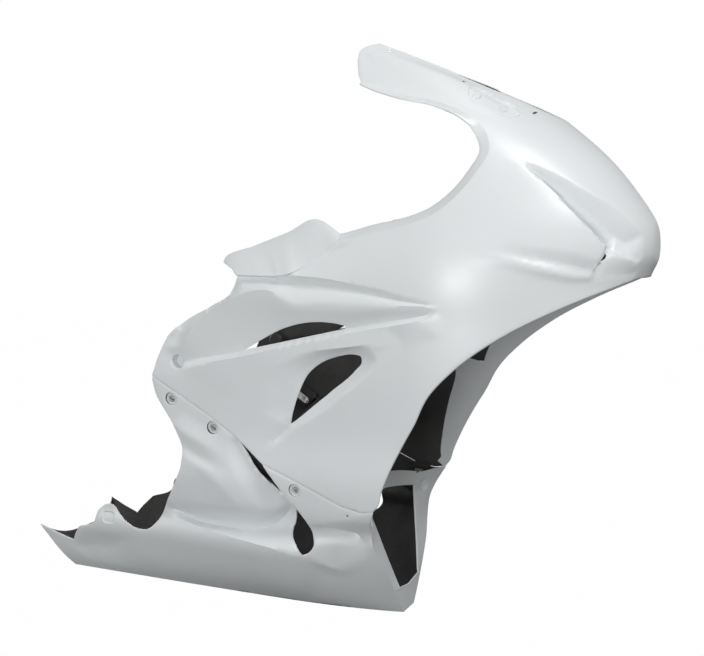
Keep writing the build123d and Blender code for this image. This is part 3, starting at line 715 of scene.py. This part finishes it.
rear_split = [(x, z - SPLIT_GAP) for x, z in SPLIT[:4:-1]] + [SLIT_REAR[0][:2]]
front_split = [SLIT_FRONT[-1][:2]] + [(x, z - SPLIT_GAP) for x, z in SPLIT[3:0:-1]] + BELLY_FRONT[:1]
belly_runs = {
    "rim": drawn(BELLY_RIM, 4.0)[:-1],
    "tab": drawn(BELLY_TAB, 4.0, soft=True)[:-1],
    "bulge": drawn(BULGE_REAR, soft=True)[:-1],
    "split_rear": drawn(rear_split)[:-1],
    "slit_rear": drawn(SLIT_REAR, 4.0, soft=True)[:-1, :2],
    "slit_front": drawn(SLIT_FRONT[:6], 4.0, soft=True)[:-1, :2],
    "slit_top": drawn(SLIT_FRONT[5:], 4.0)[:-1, :2],
    "split_front": drawn(front_split)[:-1],
    "front": drawn(BELLY_FRONT, 3.5, soft=True)[:-1],
    "keel": drawn([KEEL_FRONT, HEEL], 6.0)[:-1],
    "stern": drawn([HEEL, BELLY_RIM[0]], 5.0)[:-1],
}
edge = np.concatenate(list(belly_runs.values()))
dishes = [circle(place, DISH_R, 28) for place in FASTENERS.values()]
holes = dishes + [circle(CLIP_SCREW, CLIP_BORE_R, 14)]
turn = np.linspace(0, 2 * math.pi, 41)
ring = np.stack([np.cos(turn), np.sin(turn)], axis=-1)
rounded = np.sign(ring) * np.abs(ring) ** 0.5
pad_lines = []
for inset, depth in ((0, 0), (TAB_PAD_WALL, TAB_PAD_DEPTH)):
    outline = np.array(TAB_PAD) + rounded * (np.array(TAB_PAD_HALF) - inset)
    pad_lines.append(np.column_stack([outline, np.full(len(outline), -depth)]))
bends = [drawn(line, soft=True) for line in
         (BULGE_FOOT, BULGE_SKIRT, BULGE_TURN, BULGE_CREST, UPRIGHT, UPRIGHT_FOOT, RIDGE, RIDGE_FRONT,
          UNDERCUT, UNDERCUT_FOOT, TAIL_CREASE)]
slit_lines = [drawn(line, soft=True) for line in (SLIT_REAR, SLIT_FRONT)]
crisp = slit_lines + [drawn(line, soft=True) for line in
                      (BULGE_FOOT, RIDGE, RIDGE_FRONT, UNDERCUT, UNDERCUT_FOOT)]
belly_lines = bends + slit_lines
for line in BELLY_FLATS + [front_split, rear_split, BULGE_REAR]:
    line = drawn(line, 12)
    belly_lines.append(np.column_stack([line, np.zeros(len(line))]))

creases = [line[:, :2] for line in bends + pad_lines]
flat, tris, loops = lay_sheet(edge, holes, creases, BELLY_SPACING)
points = np.stack([flat[:, 0], -half_width(flat), flat[:, 1]], axis=-1)
tris = facing_right(points, tris)
lift = eased(relief(flat, belly_lines), tris, 3, on_lines(flat, crisp)) + relief(flat, pad_lines)
points = points + normals_of(points, tris) * lift[:, None]
spans = edge_spans(belly_runs, loops[0])

for ring, place in zip(loops[1:4], FASTENERS.values()):
    floor_y = DISH_DEPTH - half_width(np.array([place], float))[0]
    points, tris = sunk_cup(points, tris, ring, floor_y, DISH_BEND, STUD_BORE_R / DISH_R)

# The trough's bottom runs straight across, its stern dips towards the middle, and the front edge
# turns in to a frame that closes to a chin at the foot, with a dimple on each side.
STERN_DIP = 0.36
ACROSS_STEPS = 19
FRAME_INNER = np.array([(353, -47, -411), (338, -80, -340), (322, -112, -265), (322, -112, -228)], float)
CHIN_Z = -404
CHIN_RISE = np.array([(-452.4, -452.4), (-405, -409)])
DIMPLE = (140, -260)
DIMPLE_R = 11.0
DIMPLE_DEPTH = 5.0
DIMPLE_FADE = (1.15, 0.3)
under = spans["keel"] + spans["stern"][1:]
edge_line = points[under]
heel = np.array((HEEL[0], 0, HEEL[1]))
above = edge_line[:, 0] < HEEL[0]
rows = []
for share in np.linspace(1, 0, ACROSS_STEPS)[1:]:
    row = edge_line * (1, share, 1)
    keep = 1 - STERN_DIP * (1 - share ** 3)
    row[above] = heel + (row[above] - heel) * (keep, 1, keep)
    rows.append(row)
points, tris, _ = strip(points, tris, under, rows)
face = spans["front"]
root = points[face]
inner = np.stack([np.interp(root[:, 2], FRAME_INNER[:, 2], column) for column in FRAME_INNER.T], axis=-1)
chin = root[:, 2] < CHIN_Z
chin_z = np.interp(root[chin][:, 2], *CHIN_RISE.T)
inner[chin] = np.stack([np.full(chin.sum(), KEEL_FRONT[0]), np.zeros(chin.sum()), chin_z], axis=-1)
rows = [root + (inner - root) * share for share in np.linspace(0, 1, ACROSS_STEPS)[1:]]
for row in rows:
    away = np.hypot(row[:, 1] + DIMPLE[0], row[:, 2] - DIMPLE[1]) / DIMPLE_R
    row[:, 0] -= DIMPLE_DEPTH * np.clip((DIMPLE_FADE[0] - away) / DIMPLE_FADE[1], 0, 1)
points, tris, _ = strip(points, tris, face, rows)
_, first, same = np.unique(np.round(points, 3), axis=0, return_index=True, return_inverse=True)
points, tris = points[first], same.reshape(-1)[tris]
tris = tris[np.all(tris != np.roll(tris, 1, axis=1), axis=1)]
points, tris = mirrored(points, tris)

# The arched bar over the front opening: place across, set-back, top and bottom.
BAR = np.array([(-116, 324, -230, -253), (-60, 308, -219, -245), (0, 301, -213, -239),
                (60, 308, -219, -245), (116, 324, -230, -253)], float)
BAR_GRID = (7, 49)


def grid_faces(rows, columns):
    """Triangles over rows of points."""
    grid = np.arange(rows * columns).reshape(rows, columns)
    a, b, c, d = (part.ravel() for part in (grid[:-1, :-1], grid[:-1, 1:], grid[1:, 1:], grid[1:, :-1]))
    return np.concatenate([np.stack([a, b, c], axis=-1), np.stack([a, c, d], axis=-1)])


across = np.linspace(BAR[0, 0], BAR[-1, 0], BAR_GRID[1])
bar_x, bar_top, bar_low = (fair_curve(BAR[:, 0], BAR[:, column])(across) for column in (1, 2, 3))
bar_rows = [np.stack([bar_x, across, bar_top + (bar_low - bar_top) * share], axis=-1)
            for share in np.linspace(0, 1, BAR_GRID[0])]
tris = np.concatenate([tris, len(points) + grid_faces(*BAR_GRID)[:, ::-1]])
points = np.concatenate([points] + bar_rows)

# Painted shade: the dishes' walls take the black laminate, a dark ring that stands for the wall's shadow.
SHADE_RING_WITHIN = 0.25
middles = points[tris].mean(axis=1)
painted_shade_walls = np.zeros(len(tris), bool)
for x, z in FASTENERS.values():
    from_wall = np.hypot(middles[:, 0] - x, middles[:, 2] - z) - DISH_R + DISH_BEND
    painted_shade_walls |= np.abs(from_wall) < SHADE_RING_WITHIN
belly = laminate_shell("belly_shell", points, tris, SKIN, gelcoat, laminate, painted_shade_walls)
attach(belly, "fairing")
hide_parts("belly_pan")

# Joggle tabs: strips of bare laminate bonded inside the upper's lower edge, set in behind the belly pan.
# Each fastener's receptacle is riveted on one and each clip grips one, and a longer strip closes
# the top of the air slit behind the split.
TAB_TOP = 5.0
TAB_CORNER = 6.0
TAB_SPACING = 3.0
JOGGLE = 6.0
BOND_GAP = 0.05
# Each tab: its fastener's place, width, reach below that, depth behind the mould, radius of its hole.
TAB_SIZES = [(place, 40.0, 13.0, 8.9, 4.2) for place in FASTENERS.values()]
TAB_SIZES.append((CLIP_SCREW, 30.0, 12.0, 8.0, 3.2))
SHIELD = [(90, -115), (107, -126), (157, -169), (176, -176)]
SHIELD_TOP = 4.0
SHIELD_DROP = 36.0
SHIELD_LEAN = 1.1


def split_frame(place):
    """Foot of a place on the split line, the line's direction there, and the way down from it."""
    line = np.array(SPLIT, float)
    best = None
    for a, b in zip(line[:-1], line[1:]):
        t = np.clip(np.dot(place - a, b - a) / np.dot(b - a, b - a), 0, 1)
        foot = a + (b - a) * t
        if best is None or np.linalg.norm(place - foot) < np.linalg.norm(place - best[0]):
            best = (foot, (a - b) / np.linalg.norm(a - b))
    foot, along = best
    return foot, along, np.array((along[1], -along[0]))


sheets = []
for place, width, below, depth, bore in TAB_SIZES:
    foot, along, down = split_frame(np.array(place, float))
    reach = np.dot(np.array(place) - foot, down) + below
    half = width / 2
    corners = [(-half, -TAB_TOP), (half, -TAB_TOP), (half, reach - TAB_CORNER), (half - TAB_CORNER, reach),
               (TAB_CORNER - half, reach), (-half, reach - TAB_CORNER)]
    outline = drawn(corners + corners[:1], TAB_SPACING)[:-1]
    flat, tris, _ = lay_sheet(outline, [circle((0, reach - below), bore, 20)], [], TAB_SPACING)
    side = np.array(place) + flat[:, :1] * along + (flat[:, 1:] - (reach - below)) * down
    set_in = np.clip((flat[:, 1] + 1) / JOGGLE, 0, 1)
    set_in = set_in * set_in * (3 - 2 * set_in)
    bonded = SKIN + BOND_GAP - half_width(side)
    y = (1 - set_in) * bonded + set_in * (depth - half_width(np.array([place], float))[0])
    sheets.append((np.column_stack([side[:, 0], y, side[:, 1]]), tris))
top = drawn(SHIELD, TAB_SPACING)
drop = np.linspace(-SHIELD_TOP, SHIELD_DROP, 13)
along = np.gradient(top, axis=0)
down = np.stack([along[:, 1], -along[:, 0]], axis=-1) / np.linalg.norm(along, axis=1, keepdims=True)
side = (top[:, None] + down[:, None] * drop[:, None]).reshape(-1, 2)
depth = np.tile(SKIN + BOND_GAP + SHIELD_LEAN * np.maximum(drop, 0), len(top))
sheets.append((np.column_stack([side[:, 0], depth - half_width(side), side[:, 1]]),
               grid_faces(len(top), len(drop))))
points, tris = np.zeros((0, 3)), np.zeros((0, 3), int)
for sheet, faces in sheets:
    tris = np.concatenate([tris, facing_right(sheet, faces) + len(points)])
    points = np.concatenate([points, sheet])
points, tris = mirrored(points, tris)
tabs = laminate_shell("joggle_tabs", points, tris, SKIN, laminate, laminate)
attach(tabs, "fairing")

# Quarter-turn studs: turned steel pins with a slotted, chamfered head and a cross pin, one in each dish.
# The head lies in the dish with its slot across, and the cross pin locks in the receptacle
# behind when the stud is turned a quarter.
STUD_SIZES = {"Head radius": 5.8, "Head height": 2.8, "Head rim": 0.7, "Slot width": 1.7, "Slot depth": 1.3,
              "Shank radius": 3.0, "Pin radius": 1.2, "Pin length": 9.0}
TURNED_EDGE = math.radians(32)
HEAD_SIDES = 40
SHANK_SIDES = 24
PIN_SIDES = 14
PIN_SETBACK = 0.5


class NodeBench:
    """A Geometry Nodes tree with named sizes that sets one shape on every point."""

    def __init__(self, name, sizes):
        self.tree = bpy.data.node_groups.new(name, "GeometryNodeTree")
        self.tree.is_modifier = True
        self.tree.interface.new_socket(name="Places", in_out="INPUT", socket_type="NodeSocketGeometry")
        for label in sizes:
            self.tree.interface.new_socket(name=label, in_out="INPUT", socket_type="NodeSocketFloat")
        self.tree.interface.new_socket(name="Pieces", in_out="OUTPUT", socket_type="NodeSocketGeometry")
        self.given = self.tree.nodes.new("NodeGroupInput")

    def node(self, kind, **inputs):
        """Adds a node; an input is a plain value or another node's output."""
        node = self.tree.nodes.new(kind)
        for label, value in inputs.items():
            numbered = label[0] == "n" and label[1:].isdigit()
            socket = node.inputs[int(label[1:]) if numbered else label.replace("_", " ")]
            if isinstance(value, bpy.types.NodeSocket):
                self.tree.links.new(value, socket)
            else:
                socket.default_value = value
        return node

    def size(self, label):
        """One of the tree's named sizes."""
        return self.given.outputs[label]

    def reckon(self, a, operation, b):
        """Two values put together by an operation."""
        node = self.node("ShaderNodeMath", n0=a, n1=b)
        node.operation = operation
        return node.outputs[0]

    def vector(self, x=0.0, y=0.0, z=0.0):
        """Three values as a vector."""
        return self.node("ShaderNodeCombineXYZ", X=x, Y=y, Z=z).outputs[0]

    def moved(self, mesh, shift, turn=(0, 0, 0), stretch=(1, 1, 1)):
        """A mesh shifted, turned and stretched."""
        return self.node("GeometryNodeTransform", Geometry=mesh, Translation=shift, Rotation=turn,
                         Scale=stretch).outputs[0]

    def rod(self, radius, length, sides):
        """A round rod along z with its middle at the origin."""
        return self.node("GeometryNodeMeshCylinder", Vertices=sides, Radius=radius,
                         Depth=length).outputs["Mesh"]

    def close(self, parts, material):
        """Joins the parts, sets them on the points and gives them their material."""
        join = self.node("GeometryNodeJoinGeometry")
        for part in parts:
            self.tree.links.new(part, join.inputs[0])
        turn = self.node("GeometryNodeInputNamedAttribute", Name="turn")
        turn.data_type = "FLOAT_VECTOR"
        euler = self.node("FunctionNodeEulerToRotation", Euler=turn.outputs["Attribute"])
        spread = self.node("GeometryNodeInstanceOnPoints", Points=self.given.outputs["Places"],
                           Instance=join.outputs[0], Rotation=euler.outputs[0])
        real = self.node("GeometryNodeRealizeInstances", Geometry=spread.outputs[0])
        coat = self.node("GeometryNodeSetMaterial", Geometry=real.outputs[0], Material=material)
        result = self.tree.nodes.new("NodeGroupOutput")
        self.tree.links.new(coat.outputs[0], result.inputs["Pieces"])


def by_nodes(name, bench, places, turns, sizes):
    """One plain mesh object from a tree set on places, each with its turn."""
    mesh = bpy.data.meshes.new(name + "_places")
    mesh.from_pydata([tuple(place) for place in places], [], [])
    mesh.attributes.new("turn", "FLOAT_VECTOR", "POINT").data.foreach_set("vector", np.ravel(turns))
    holder = bpy.data.objects.new(name + "_places", mesh)
    bpy.context.scene.collection.objects.link(holder)
    modifier = holder.modifiers.new("pieces", "NODES")
    modifier.node_group = bench.tree
    for item in bench.tree.interface.items_tree:
        if item.in_out == "INPUT" and item.name in sizes:
            modifier[item.identifier] = float(sizes[item.name]) * MM
    ready = holder.evaluated_get(bpy.context.evaluated_depsgraph_get())
    made = bpy.data.meshes.new_from_object(ready)
    made.name = name
    made.polygons.foreach_set("use_smooth", np.ones(len(made.polygons), bool))
    made.set_sharp_from_angle(angle=TURNED_EDGE)
    holder.modifiers.remove(modifier)
    bpy.data.objects.remove(holder)
    piece = bpy.data.objects.new(name, made)
    bpy.context.scene.collection.objects.link(piece)
    return piece


def outward_turn(hand, along):
    """Rotation that points z out of the fairing's side and x along the split."""
    out = Vector((0, -1 if hand == "right" else 1, 0))
    x = Vector((along[0], 0, along[1]))
    return Matrix((x, out.cross(x), out)).transposed().to_euler()


stud_steel = finish("polished_stud_steel", light=(0.95, 0.95, 0.94), dark=(0.80, 0.80, 0.79),
                    smooth=0.22, rough=0.40, scale=900.0, cloud=70.0, bump=0.06, metal=1.0)
stud = NodeBench("quarter_turn_stud", list(STUD_SIZES) + ["Stud length"])
head_radius, head_height, head_rim = (stud.size("Head " + label) for label in ("radius", "height", "rim"))
barrel_height = stud.reckon(head_height, "SUBTRACT", head_rim)
barrel = stud.moved(stud.rod(head_radius, barrel_height, HEAD_SIDES),
                    stud.vector(z=stud.reckon(barrel_height, "MULTIPLY", 0.5)))
bevel = stud.node("GeometryNodeMeshCone", Vertices=HEAD_SIDES, Depth=head_rim, Radius_Bottom=head_radius,
                  Radius_Top=stud.reckon(head_radius, "SUBTRACT", head_rim)).outputs["Mesh"]
head = stud.node("GeometryNodeMeshBoolean")
head.operation = "UNION"
stud.tree.links.new(barrel, head.inputs["Mesh 2"])
stud.tree.links.new(stud.moved(bevel, stud.vector(z=barrel_height)), head.inputs["Mesh 2"])
slot_size = stud.vector(stud.reckon(head_radius, "MULTIPLY", 2.4), stud.size("Slot width"),
                        stud.reckon(stud.size("Slot depth"), "MULTIPLY", 2.0))
blade = stud.node("GeometryNodeMeshCube", Size=slot_size).outputs["Mesh"]
slotted = stud.node("GeometryNodeMeshBoolean", Mesh_1=head.outputs["Mesh"])
stud.tree.links.new(stud.moved(blade, stud.vector(z=head_height)), slotted.inputs["Mesh 2"])
shank_length = stud.reckon(stud.size("Stud length"), "SUBTRACT", head_height)
shank = stud.moved(stud.rod(stud.size("Shank radius"), shank_length, SHANK_SIDES),
                   stud.vector(z=stud.reckon(shank_length, "MULTIPLY", -0.5)))
pin_rise = stud.reckon(stud.size("Pin radius"), "ADD", PIN_SETBACK * MM)
pin = stud.moved(stud.rod(stud.size("Pin radius"), stud.size("Pin length"), PIN_SIDES),
                 stud.vector(z=stud.reckon(pin_rise, "SUBTRACT", shank_length)), (0, math.pi / 2, 0))
stud.close([slotted.outputs["Mesh"], shank, pin], stud_steel)
for hand in ("right", "left"):
    for spot, (x, z) in FASTENERS.items():
        low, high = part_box(f"stud_{hand}_{spot}")
        rise = STUD_SIZES["Head height"] * MM
        head_y = low[1] + rise if hand == "right" else high[1] - rise
        turn = outward_turn(hand, split_frame(np.array((x, z), float))[1])
        lengths = dict(STUD_SIZES, **{"Stud length": (high[1] - low[1]) / MM})
        piece = by_nodes(f"quarter_turn_{hand}_{spot}", stud, [(x * MM, head_y, z * MM)], [tuple(turn)],
                         lengths)
        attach(piece, f"stud_{hand}_{spot}")
        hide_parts(f"stud_{hand}_{spot}")

# Washers, receptacles and clips: pressed from zinc-plated spring steel and kept as the CAD made them.
# Each washer keeps its stud in the belly pan, each receptacle takes the stud's cross pin, and each clip
# slides over the front end of a tab.
zinc_steel = finish("zinc_plated_steel", light=(0.86, 0.85, 0.80), dark=(0.66, 0.64, 0.58),
                    smooth=0.28, rough=0.50, scale=700.0, cloud=45.0, bump=0.2, metal=1.0)
for name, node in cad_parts.items():
    if name.startswith(("washer_", "receptacle_", "clip_")):
        for place in node.material_slots:
            place.material = zinc_steel

# Rivets: a pair of plain alloy rivets with low round heads holds each receptacle on its tab.
# They are set from inside, so their round heads stand on the receptacle and their shanks
# end flush in the tab's front face.
RIVET_SIZES = {"Rivet radius": 1.6, "Round radius": 3.0, "Round height": 1.2}
RIVET_PITCH = 21.0
RIVET_SIDES = 14
rivet_alloy = finish("rivet_alloy", light=(0.88, 0.88, 0.88), dark=(0.70, 0.70, 0.71),
                     smooth=0.26, rough=0.46, scale=800.0, cloud=60.0, bump=0.12, metal=1.0)
rivet = NodeBench("round_head_rivet", list(RIVET_SIZES) + ["Rivet length"])
ball = rivet.node("GeometryNodeMeshUVSphere", Segments=20, Rings=12, Radius=1.0).outputs["Mesh"]
round_radius = rivet.size("Round radius")
dome = rivet.moved(ball, (0, 0, 0),
                   stretch=rivet.vector(round_radius, round_radius, rivet.size("Round height")))
shaft = rivet.moved(rivet.rod(rivet.size("Rivet radius"), rivet.size("Rivet length"), RIVET_SIDES),
                    rivet.vector(z=rivet.reckon(rivet.size("Rivet length"), "MULTIPLY", 0.5)))
rivet.close([dome, shaft], rivet_alloy)
for hand in ("right", "left"):
    for spot, (x, z) in FASTENERS.items():
        low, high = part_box(f"rivets_{hand}_{spot}")
        along = split_frame(np.array((x, z), float))[1]
        rise = RIVET_SIZES["Round height"] * MM
        inner_y = high[1] - rise if hand == "right" else low[1] + rise
        places = [((x + along[0] * off) * MM, inner_y, (z + along[1] * off) * MM)
                  for off in (-RIVET_PITCH / 2, RIVET_PITCH / 2)]
        length = (high[1] - low[1]) / MM - RIVET_SIZES["Round height"]
        lengths = dict(RIVET_SIZES, **{"Rivet length": length})
        turn = tuple(outward_turn(hand, along))
        piece = by_nodes(f"rivet_pair_{hand}_{spot}", rivet, places, [turn, turn], lengths)
        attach(piece, "fairing")
        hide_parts(f"rivets_{hand}_{spot}")

# Studio: a pale matt floor under the belly pan that runs out to plain white behind it.
# Softboxes overhead, at the camera and around the object light all its sides, the world adds a weak
# fill, and the camera stands low in front of the right-hand side.
FLOOR_Z = -0.456
FLOOR_HALF = 6.0
FLOOR_GLOW = 0.995
floor_mesh = bpy.data.meshes.new("studio_floor")
floor_corners = [(FLOOR_HALF * x, FLOOR_HALF * y, FLOOR_Z) for x, y in ((-1, -1), (1, -1), (1, 1), (-1, 1))]
floor_mesh.from_pydata(floor_corners, [], [(0, 1, 2, 3)])
studio_floor = bpy.data.objects.new("studio_floor", floor_mesh)
bpy.context.scene.collection.objects.link(studio_floor)
floor_paint = bpy.data.materials.new("pale_floor")
floor_paint.use_nodes = True
nodes, links = floor_paint.node_tree.nodes, floor_paint.node_tree.links
nodes["Principled BSDF"].inputs["Base Color"].default_value = (0.20, 0.20, 0.20, 1)
nodes["Principled BSDF"].inputs["Roughness"].default_value = 0.9
glow = nodes.new("ShaderNodeEmission")
glow.inputs["Strength"].default_value = 1.0
ray = nodes.new("ShaderNodeLightPath")
share = nodes.new("ShaderNodeMath")
share.operation = "MULTIPLY"
share.inputs[1].default_value = FLOOR_GLOW
mix = nodes.new("ShaderNodeMixShader")
links.new(ray.outputs["Is Camera Ray"], share.inputs[0])
links.new(share.outputs[0], mix.inputs["Fac"])
links.new(nodes["Principled BSDF"].outputs["BSDF"], mix.inputs[1])
links.new(glow.outputs["Emission"], mix.inputs[2])
links.new(mix.outputs["Shader"], nodes["Material Output"].inputs["Surface"])
floor_mesh.materials.append(floor_paint)

LIGHT_FROM = (0.03, -0.10, 0.03)
LIGHT_LEVEL = 0.24
LIGHT_LEAST = 0.02
GLOSS_SHARE = 0.30
world = bpy.data.worlds.new("studio")
world.use_nodes = True
nodes, links = world.node_tree.nodes, world.node_tree.links
ray = nodes.new("ShaderNodeLightPath")
coords = nodes.new("ShaderNodeTexCoord")
facing = nodes.new("ShaderNodeVectorMath")
facing.operation = "DOT_PRODUCT"
facing.inputs[1].default_value = LIGHT_FROM
fill = nodes.new("ShaderNodeMath")
fill.inputs[1].default_value = LIGHT_LEVEL
least = nodes.new("ShaderNodeMath")
least.operation = "MAXIMUM"
least.inputs[1].default_value = LIGHT_LEAST
level = nodes.new("ShaderNodeMix")
level.inputs["B"].default_value = 1.0
links.new(coords.outputs["Generated"], facing.inputs[0])
links.new(facing.outputs["Value"], fill.inputs[0])
links.new(fill.outputs[0], least.inputs[0])
links.new(least.outputs[0], level.inputs["A"])
gloss = nodes.new("ShaderNodeMath")
gloss.operation = "MULTIPLY_ADD"
gloss.inputs[1].default_value = GLOSS_SHARE
gloss.use_clamp = True
links.new(ray.outputs["Is Glossy Ray"], gloss.inputs[0])
links.new(ray.outputs["Is Camera Ray"], gloss.inputs[2])
links.new(gloss.outputs[0], level.inputs["Factor"])
links.new(level.outputs["Result"], nodes["Background"].inputs["Strength"])
nodes["Background"].inputs["Color"].default_value = (1, 1, 1, 1)
bpy.context.scene.world = world
bpy.context.scene.view_settings.view_transform = "Standard"


def soft_light(name, place, target, size, power):
    """A square softbox aimed at a point."""
    lamp = bpy.data.lights.new(name, "AREA")
    lamp.size = size
    lamp.energy = power
    box = bpy.data.objects.new(name, lamp)
    box.location = place
    box.rotation_euler = (Vector(target) - Vector(place)).to_track_quat("-Z", "Y").to_euler()
    bpy.context.scene.collection.objects.link(box)


soft_light("overhead_softbox", (2.2, -1.0, 2.1), (0.3, 0, 0.1), 0.9, 37)
soft_light("left_softbox", (-1.7, -2.3, 0.6), (0.1, 0, -0.1), 0.7, 9)
soft_light("far_softbox", (-0.5, 2.9, 0.15), (0.1, 0, 0), 1.2, 40)
soft_light("rear_softbox", (-2.8, 1.2, 0.5), (0, 0, 0), 0.9, 14)
soft_light("camera_softbox", (0.6, -2.9, 0.0), (0.2, 0, -0.1), 0.7, 25)

camera = bpy.data.cameras.new("camera")
camera.sensor_width = 36
camera.lens = 61.36
view = bpy.data.objects.new("camera", camera)
view.location = (1.0266, -1.9968, 0.2416)
view.rotation_euler = (math.radians(84.86), 0, math.radians(21.5))
bpy.context.scene.collection.objects.link(view)
bpy.context.scene.camera = view
